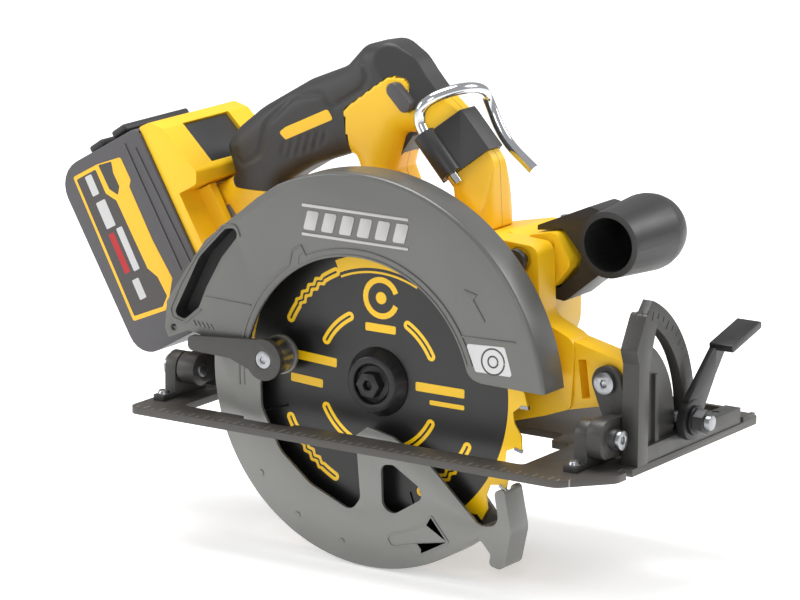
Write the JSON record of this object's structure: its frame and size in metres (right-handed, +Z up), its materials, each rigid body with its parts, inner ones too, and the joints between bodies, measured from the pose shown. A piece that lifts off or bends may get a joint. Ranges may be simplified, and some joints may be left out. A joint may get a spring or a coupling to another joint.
{
  "type": "cordless circular saw",
  "caption": "Cordless circular saw with a bevelling shoe, fixed and swinging blade guards, rear grip with trigger, front handle, rafter hook and a slide-on battery.",
  "frame": {"origin": "point of the sole directly below the blade's centre, in the blade's plane", "axes": "+X along the cut, towards the front handle; +Y away from the blade, towards the motor; +Z up"},
  "size_m": [0.3943, 0.1825, 0.2782],
  "materials": {
    "yellow_plastic": "satin moulded plastic",
    "yellow_cast": "painted magnesium casting",
    "guard_alloy": "dark grey painted die casting",
    "swing_guard": "grey satin pressing",
    "shoe_alloy": "dark bronze grey coating",
    "black_steel": "black coating",
    "steel": "machined",
    "chrome": "polished",
    "rubber": "moulded, fine texture",
    "black_plastic": "matt",
    "grey_plastic": "fine texture",
    "blade_coat": "black print over steel, yellow rim",
    "carbide": "ground",
    "copper": "lacquered windings",
    "board": "potted",
    "cell_wrap": "shrink wrap",
    "magnet": "laminated"
  },
  "bodies": {
    "shoe": {"shoe": "shoe_alloy", "front_pivot_ear": "black_steel", "rear_pivot_ear": "black_steel", "ear_screws": "steel", "bevel_quadrant": "shoe_alloy", "quadrant_screws": "steel", "fence_clamp": "shoe_alloy", "bevel_pivot_pins": "steel"},
    "fence_knob": {"fence_screw": "black_plastic"},
    "tilt_frame": {"front_tilt_bracket": "shoe_alloy", "rear_tilt_bracket": "black_steel", "depth_pivot_pin": "steel", "bevel_bolt": "steel", "bevel_nut": "steel"},
    "bevel_lever": {"bevel_lever": "black_plastic"},
    "saw": {"gear_case": "yellow_cast", "upper_guard": "guard_alloy", "guard_back": "yellow_cast", "guard_screws": "steel", "guard_ring": "steel", "guard_spring": "steel", "spindle_bearings": "steel", "bearing_plate": "steel", "motor_housing": "yellow_plastic", "motor_end_cap": "black_plastic", "stator": "copper", "control_board": "board", "handle_shell_near": "yellow_plastic", "handle_shell_far": "yellow_plastic", "grip_rubber": "rubber", "shell_screws": "steel", "switch_module": "black_plastic", "terminal_block": "black_plastic", "front_handle": "rubber", "handle_bolts": "steel", "hook_sleeve": "rubber", "depth_bolt": "steel"},
    "blade_set": {"blade": "blade_coat", "blade_tips": "carbide", "inner_flange": "steel", "outer_flange": "black_steel", "blade_bolt": "black_steel", "spindle": "steel", "spindle_gear": "steel"},
    "motor_rotor": {"rotor": "steel", "rotor_magnets": "magnet", "cooling_fan": "black_plastic"},
    "swing_guard": {"lower_guard": "swing_guard", "guard_drum": "steel", "guard_lever": "guard_alloy", "lever_screw": "steel"},
    "trigger": {"trigger": "black_plastic"},
    "lock_off": {"lock_off_button": "grey_plastic"},
    "spindle_lock": {"spindle_lock": "black_plastic"},
    "depth_lever": {"depth_lever": "black_plastic"},
    "hook": {"rafter_hook": "chrome"},
    "battery": {"battery_case": "grey_plastic", "battery_top": "yellow_plastic", "battery_cells": "cell_wrap"},
    "latch": {"battery_latch": "black_plastic"}
  },
  "joints": [
    {"name": "bevel", "type": "hinge", "parent": "shoe", "child": "tilt_frame", "pos_m": [0, 0, 0.02], "axis": [1, 0, 0], "range_deg": [0, 57]},
    {"name": "depth", "type": "hinge", "parent": "tilt_frame", "child": "saw", "pos_m": [0.1332, 0.028, 0.0452], "axis": [0, 1, 0], "range_deg": [0, 28.5]},
    {"name": "bevel_lever_swing", "type": "hinge", "parent": "tilt_frame", "child": "bevel_lever", "pos_m": [0.16, 0.0583, 0.02], "axis": [1, 0, 0], "range_deg": [0, 40]},
    {"name": "fence_knob_turn", "type": "hinge", "parent": "shoe", "child": "fence_knob", "pos_m": [0.119, 0.062, 0.02], "axis": [0, 0, 1], "range_deg": [0, 180]},
    {"name": "blade_spin", "type": "hinge", "parent": "saw", "child": "blade_set", "pos_m": [0, 0, 0.03], "axis": [0, 1, 0], "continuous": true},
    {"name": "rotor_spin", "type": "hinge", "parent": "saw", "child": "motor_rotor", "pos_m": [0.01011, 0.06, 0.05503], "axis": [0, 1, 0], "continuous": true},
    {"name": "guard_swing", "type": "hinge", "parent": "saw", "child": "swing_guard", "pos_m": [0, 0.007, 0.03], "axis": [0, 1, 0], "range_deg": [0, 110], "stiffness_Nm_per_rad": 0.25, "springref_deg": -22.92},
    {"name": "trigger_pull", "type": "hinge", "parent": "saw", "child": "trigger", "pos_m": [-0.014, 0.055, 0.165], "axis": [0, 1, 0], "range_deg": [0, 10], "stiffness_Nm_per_rad": 0.6, "springref_deg": -3.44},
    {"name": "lock_off_push", "type": "slide", "parent": "saw", "child": "lock_off", "axis": [0, 1, 0], "range_m": [0, 0.0025], "stiffness_N_per_m": 400, "springref_m": -0.002},
    {"name": "spindle_lock_push", "type": "slide", "parent": "saw", "child": "spindle_lock", "axis": [0, 1, 0], "range_m": [0, 0.003], "stiffness_N_per_m": 500, "springref_m": -0.002},
    {"name": "depth_lever_swing", "type": "hinge", "parent": "saw", "child": "depth_lever", "pos_m": [-0.05602, 0.029, 0.03495], "axis": [0, 1, 0], "range_deg": [0, 60]},
    {"name": "hook_swing", "type": "hinge", "parent": "saw", "child": "hook", "pos_m": [0.01632, 0.0339, 0.14926], "axis": [0.6691, 0, -0.7431], "range_deg": [0, 120]},
    {"name": "battery_slide", "type": "slide", "parent": "saw", "child": "battery", "axis": [-0.5, 0, 0.866], "range_m": [0, 0.08]},
    {"name": "latch_press", "type": "slide", "parent": "battery", "child": "latch", "axis": [-0.7071, 0, -0.7071], "range_m": [0, 0.0025], "stiffness_N_per_m": 500, "springref_m": -0.002}
  ],
  "couplings": [
    {"joint": "rotor_spin", "follows": "blade_spin", "ratio": -5}
  ]
}
